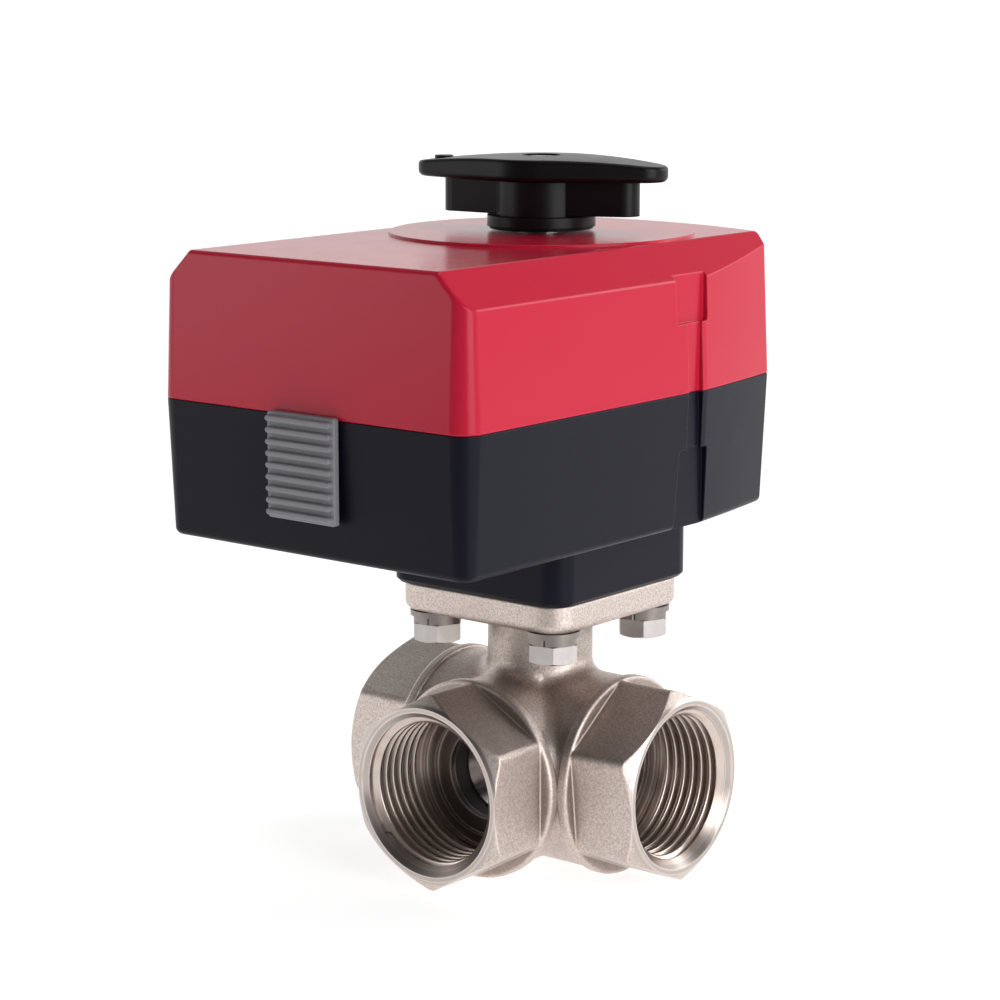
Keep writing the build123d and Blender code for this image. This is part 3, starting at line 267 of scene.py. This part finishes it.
# ---------------------------------------------------------------- other materials
MATERIALS = {
    "red_plastic": moulded("red_plastic", (0.485, 0.01, 0.035), 0.24, depth=0, uneven=0.02, gloss=0.2),
    "black_plastic": moulded("black_plastic", (0.0052, 0.0048, 0.0115), 0.36, depth=0, gloss=0.12),
    "knob_plastic": moulded("knob_plastic", (0.003, 0.002, 0.003), 0.36, depth=0, gloss=0.18),
    "grey_plastic": moulded("grey_plastic", (0.215, 0.21, 0.23), 0.5, grain=0.2 * MM),
    "gland_nylon": moulded("gland_nylon", (0.011, 0.011, 0.012), 0.42, gloss=0.35),
    "gear_acetal": moulded("gear_acetal", (0.72, 0.70, 0.62), 0.35),
    # Seat colour is painted shade: dark brown for the shaded inside of the valve.
    "seat_ptfe": moulded("seat_ptfe", (0.060, 0.052, 0.046), 0.4),
    "switch_plastic": moulded("switch_plastic", (0.02, 0.02, 0.022), 0.42),
    "plunger_plastic": moulded("plunger_plastic", (0.45, 0.03, 0.02), 0.35),
    "board_laminate": moulded("board_laminate", (0.012, 0.13, 0.045), 0.3, coat=0.3),
    "relay_plastic": moulded("relay_plastic", (0.02, 0.06, 0.24), 0.35),
    "capacitor_plastic": moulded("capacitor_plastic", (0.62, 0.40, 0.05), 0.28),
    "terminal_plastic": moulded("terminal_plastic", (0.03, 0.26, 0.09), 0.38),
    "seal_rubber": moulded("seal_rubber", (0.012, 0.012, 0.012), 0.55, depth=8e-6),
    "fastener_steel": turned_metal("fastener_steel", (0.60, 0.56, 0.55), 0.32),
    "stem_steel": turned_metal("stem_steel", (0.58, 0.57, 0.56), 0.26),
    "spring_steel": turned_metal("spring_steel", (0.5, 0.5, 0.5), 0.3),
    "insert_brass": turned_metal("insert_brass", (0.70, 0.48, 0.19), 0.28),
    "pinion_brass": turned_metal("pinion_brass", (0.72, 0.50, 0.20), 0.26),
    "zinc_sheet": turned_metal("zinc_sheet", (0.56, 0.57, 0.58), 0.34, 0.8 * MM, streak=(1, 1, 1)),
    "chromed_ball": turned_metal("chromed_ball", (0.74, 0.74, 0.75), 0.12),
    "nickel_plated_brass": NICKEL_OF["a"],
}
washer_metal = turned_metal("washer_steel", (0.30, 0.265, 0.245), 0.32)
bar_nickel = turned_metal("bar_nickel", scaled(NICKEL, 0.92), 0.3)
OWN_MATERIAL = {
    "port_connector_b": NICKEL_OF["b"], "port_connector_c": NICKEL_OF["c"], "gland_locknut": bar_nickel,
    "flat_washers": washer_metal, "spring_washers": washer_metal,
}
SLOT_OF = {part["node"]: part["material_slot"] for part in frame["record"]["subparts"]}


def dress(piece, material):
    piece.data.materials.clear()
    piece.data.materials.append(material)


for name, cad in NODES.items():
    material = OWN_MATERIAL.get(name, MATERIALS[SLOT_OF[name]])
    for index in range(len(cad.material_slots)):
        cad.material_slots[index].material = material


# ---------------------------------------------------------------- port threads
PITCH, MAJOR_R, CREST_R, MOUTH_R, EMBED = 1.814 * MM, 13.22 * MM, 12.06 * MM, 14.1 * MM, 0.04 * MM
MOUTH_SLOPE = (MOUTH_R - MAJOR_R) / (PORT_FACE - THREAD_START)
STEPS_PER_TURN, CREST_STEPS = 120, 8
FLANK_ANGLE = math.radians(27.5)
RUN_IN = 0.35


def thread_profile():
    """Closed ridge section as (along, radius) pairs: straight flanks and a rounded crest."""
    depth = MAJOR_R - CREST_R
    rounding = depth * 0.22
    foot = PITCH * 0.47
    shoulder = foot - depth * 0.78 * math.tan(FLANK_ANGLE)
    shoulder_r = CREST_R + rounding
    crest = []
    for step in range(CREST_STEPS + 1):
        angle = math.pi * step / CREST_STEPS
        crest.append((shoulder * math.cos(angle), shoulder_r - rounding * math.sin(angle)))
    flank = [(foot + (shoulder - foot) * part, MAJOR_R + (shoulder_r - MAJOR_R) * part)
             for part in (0, 0.25, 0.5, 0.75)]
    far_flank = [(-along, radius) for along, radius in reversed(flank)]
    return [(foot, MAJOR_R + EMBED), *flank, *crest, *far_flank, (-foot, MAJOR_R + EMBED)]


def port_thread(letter, direction):
    """Helical ridge from the relief to the mouth, whose cone cuts its first turns, as one closed mesh."""
    profile = thread_profile()
    turns = (PORT_FACE - THREAD_END) / PITCH - 1.05
    steps = int(turns * STEPS_PER_TURN)
    side = direction.cross(Vector((0, 0, 1)))
    mesh = bmesh.new()
    rings = []
    for step in range(steps + 1):
        turn = step / STEPS_PER_TURN
        angle = 2 * math.pi * turn
        spoke = side * math.cos(angle) + Vector((0, 0, 1)) * math.sin(angle)
        fade = min(1.0, turn / RUN_IN)
        fade = fade * fade * (3 - 2 * fade)
        middle = THREAD_END + PITCH * (turn + 0.5)
        ring = []
        for along, radius in profile:
            sunk = MAJOR_R + EMBED - (MAJOR_R + EMBED - radius) * fade
            cone = MOUTH_R - (PORT_FACE - middle - along) * MOUTH_SLOPE + EMBED
            ring.append(mesh.verts.new(direction * (middle + along) + spoke * max(sunk, cone)))
        rings.append(ring)
    count = len(profile)
    for first, second in zip(rings, rings[1:]):
        for index in range(count):
            follow = (index + 1) % count
            mesh.faces.new((first[index], first[follow], second[follow], second[index]))
    mesh.faces.new(rings[0])
    mesh.faces.new(list(reversed(rings[-1])))
    bmesh.ops.recalc_face_normals(mesh, faces=mesh.faces)
    for face in mesh.faces:
        face.smooth = True
    data = bpy.data.meshes.new(f"port_thread_{letter}")
    mesh.to_mesh(data)
    mesh.free()
    piece = bpy.data.objects.new(f"port_thread_{letter}", data)
    bpy.context.scene.collection.objects.link(piece)
    dress(piece, thread_material)
    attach(piece, "root")


THREAD_LIGHT, THREAD_WARM = (0.64, 0.55, 0.50), (0.58, 0.46, 0.39)


def thread_nickel():
    """Cut thread: fine streaks, and a warm tint where the plating is thin."""
    shader = Shader("nickel_thread", NICKEL, 0.3, metallic=1.0)
    patches = shader.ramp(shader.noise(3 * MM), 0.45, 0.75)
    shader.color(shader.mix(patches, THREAD_LIGHT, THREAD_WARM))
    streaks = shader.noise(0.15 * MM, detail=2.0)
    shader.roughness(shader.blend(streaks, 0.24, 0.36))
    shader.normal(shader.bump(streaks, 3e-6, 0.6))
    return shader.material


thread_material = thread_nickel()
for letter, direction in PORTS.items():
    port_thread(letter, direction)


# ---------------------------------------------------------------- studio
CAMERA_PLACE = Vector((0.29751, -0.37829, 0.13739))
VIEW_AZIMUTH, VIEW_ELEVATION, LENS = math.radians(39.02), math.radians(10.77), 101.9
FLOOR_HALF, FLOOR_Z = 20.0, cad_box[0].z - 0.0002
HOUSING, VALVE = (0, -0.01, 0.05), (0, -0.01, 0.02)
BACKWARDS = (-0.62, 0.78, 0)
WALL_NEAR, WALL_FAR, CEILING = 0.18, 1.2, 0.3
FLOOR_NEAR, FLOOR_FAR, FLOOR_DIM, FLOOR_GLOW = -0.28, -0.11, 0.10, 0.74
LIFT_NEAR, LIFT_FAR, FAR_LIFT = 0.3, 2.0, 0.2


def studio_camera():
    backward = Vector((math.sin(VIEW_AZIMUTH) * math.cos(VIEW_ELEVATION),
                       -math.cos(VIEW_AZIMUTH) * math.cos(VIEW_ELEVATION), math.sin(VIEW_ELEVATION)))
    right = Vector((math.cos(VIEW_AZIMUTH), math.sin(VIEW_AZIMUTH), 0))
    up = backward.cross(right)
    turn = Matrix((right, up, backward)).transposed().to_4x4()
    data = bpy.data.cameras.new("camera")
    data.lens, data.sensor_width, data.clip_end = LENS, 36, 60
    camera = bpy.data.objects.new("camera", data)
    camera.matrix_world = Matrix.Translation(CAMERA_PLACE) @ turn
    bpy.context.scene.collection.objects.link(camera)
    bpy.context.scene.camera = camera


def softbox(name, place, size, watts, aim=HOUSING):
    """Square area light that points from place to aim."""
    data = bpy.data.lights.new(name, "AREA")
    data.shape, data.size, data.energy = "SQUARE", size, watts
    lamp = bpy.data.objects.new(name, data)
    lamp.location = place
    lamp.rotation_euler = (Vector(aim) - Vector(place)).to_track_quat("-Z", "Y").to_euler()
    bpy.context.scene.collection.objects.link(lamp)


def studio_floor():
    """Pale paper that glows with painted light: dimmer towards the camera and lifted a little in the
    distance.
    """
    mesh = bmesh.new()
    corners = ((-1, -1), (1, -1), (1, 1), (-1, 1))
    mesh.faces.new([mesh.verts.new((x * FLOOR_HALF, y * FLOOR_HALF, FLOOR_Z)) for x, y in corners])
    data = bpy.data.meshes.new("floor")
    mesh.to_mesh(data)
    mesh.free()
    floor = bpy.data.objects.new("floor", data)
    shader = Shader("glowing_floor_paper", (0.6, 0.6, 0.6), 0.9)
    shader.set("Emission Color", (1.0, 1.0, 1.0, 1.0))
    depth = shader.node("ShaderNodeVectorMath", {"operation": "DOT_PRODUCT"})
    shader.feed(depth.inputs[0], shader.place)
    depth.inputs[1].default_value = BACKWARDS
    # Painted light: the floor's glow is strong behind the object and dim towards the camera.
    near = shader.ramp(depth.outputs["Value"], FLOOR_NEAR, FLOOR_FAR, FLOOR_DIM, FLOOR_GLOW)
    far = shader.ramp(depth.outputs["Value"], LIFT_NEAR, LIFT_FAR, 0.0, FAR_LIFT)
    shader.feed(shader.surface.inputs["Emission Strength"], shader.math("ADD", near, far))
    shader.roughness(shader.blend(shader.noise(0.4), 0.85, 0.95))
    data.materials.append(shader.material)
    bpy.context.scene.collection.objects.link(floor)


def studio_world():
    """Pale room: bright backdrop, dimmer towards the camera and a dark ceiling."""
    world = bpy.data.worlds.new("studio")
    world.use_nodes = True
    tree = world.node_tree
    place = tree.nodes.new("ShaderNodeTexCoord").outputs["Generated"]

    def along(direction, low, high, start, end):
        dot = tree.nodes.new("ShaderNodeVectorMath")
        dot.operation = "DOT_PRODUCT"
        tree.links.new(place, dot.inputs[0])
        dot.inputs[1].default_value = direction
        ramp = tree.nodes.new("ShaderNodeMapRange")
        ramp.interpolation_type = "SMOOTHSTEP"
        tree.links.new(dot.outputs["Value"], ramp.inputs["Value"])
        for socket, value in (("From Min", low), ("From Max", high), ("To Min", start), ("To Max", end)):
            ramp.inputs[socket].default_value = value
        return ramp.outputs[0]

    walls = along(BACKWARDS, -0.3, 0.6, WALL_NEAR, WALL_FAR)
    ceiling = along((0, 0, 1), 0.25, 0.65, 1.0, CEILING)
    strength = tree.nodes.new("ShaderNodeMath")
    strength.operation = "MULTIPLY"
    tree.links.new(walls, strength.inputs[0])
    tree.links.new(ceiling, strength.inputs[1])
    tree.links.new(strength.outputs[0], tree.nodes["Background"].inputs["Strength"])
    tree.nodes["Background"].inputs["Color"].default_value = (1.0, 1.0, 1.0, 1.0)
    bpy.context.scene.world = world


studio_camera()
studio_floor()
studio_world()
softbox("key", (0.85, -0.12, 0.28), 0.6, 5.8)
softbox("front", (-0.75, -0.8, 0.12), 0.4, 1.3)
softbox("rim", (0.42, 0.62, 0.32), 0.35, 1.6, aim=VALVE)
softbox("top", (0.1, 0.1, 0.8), 0.35, 1.2)
bpy.context.scene.view_settings.view_transform = "Standard"
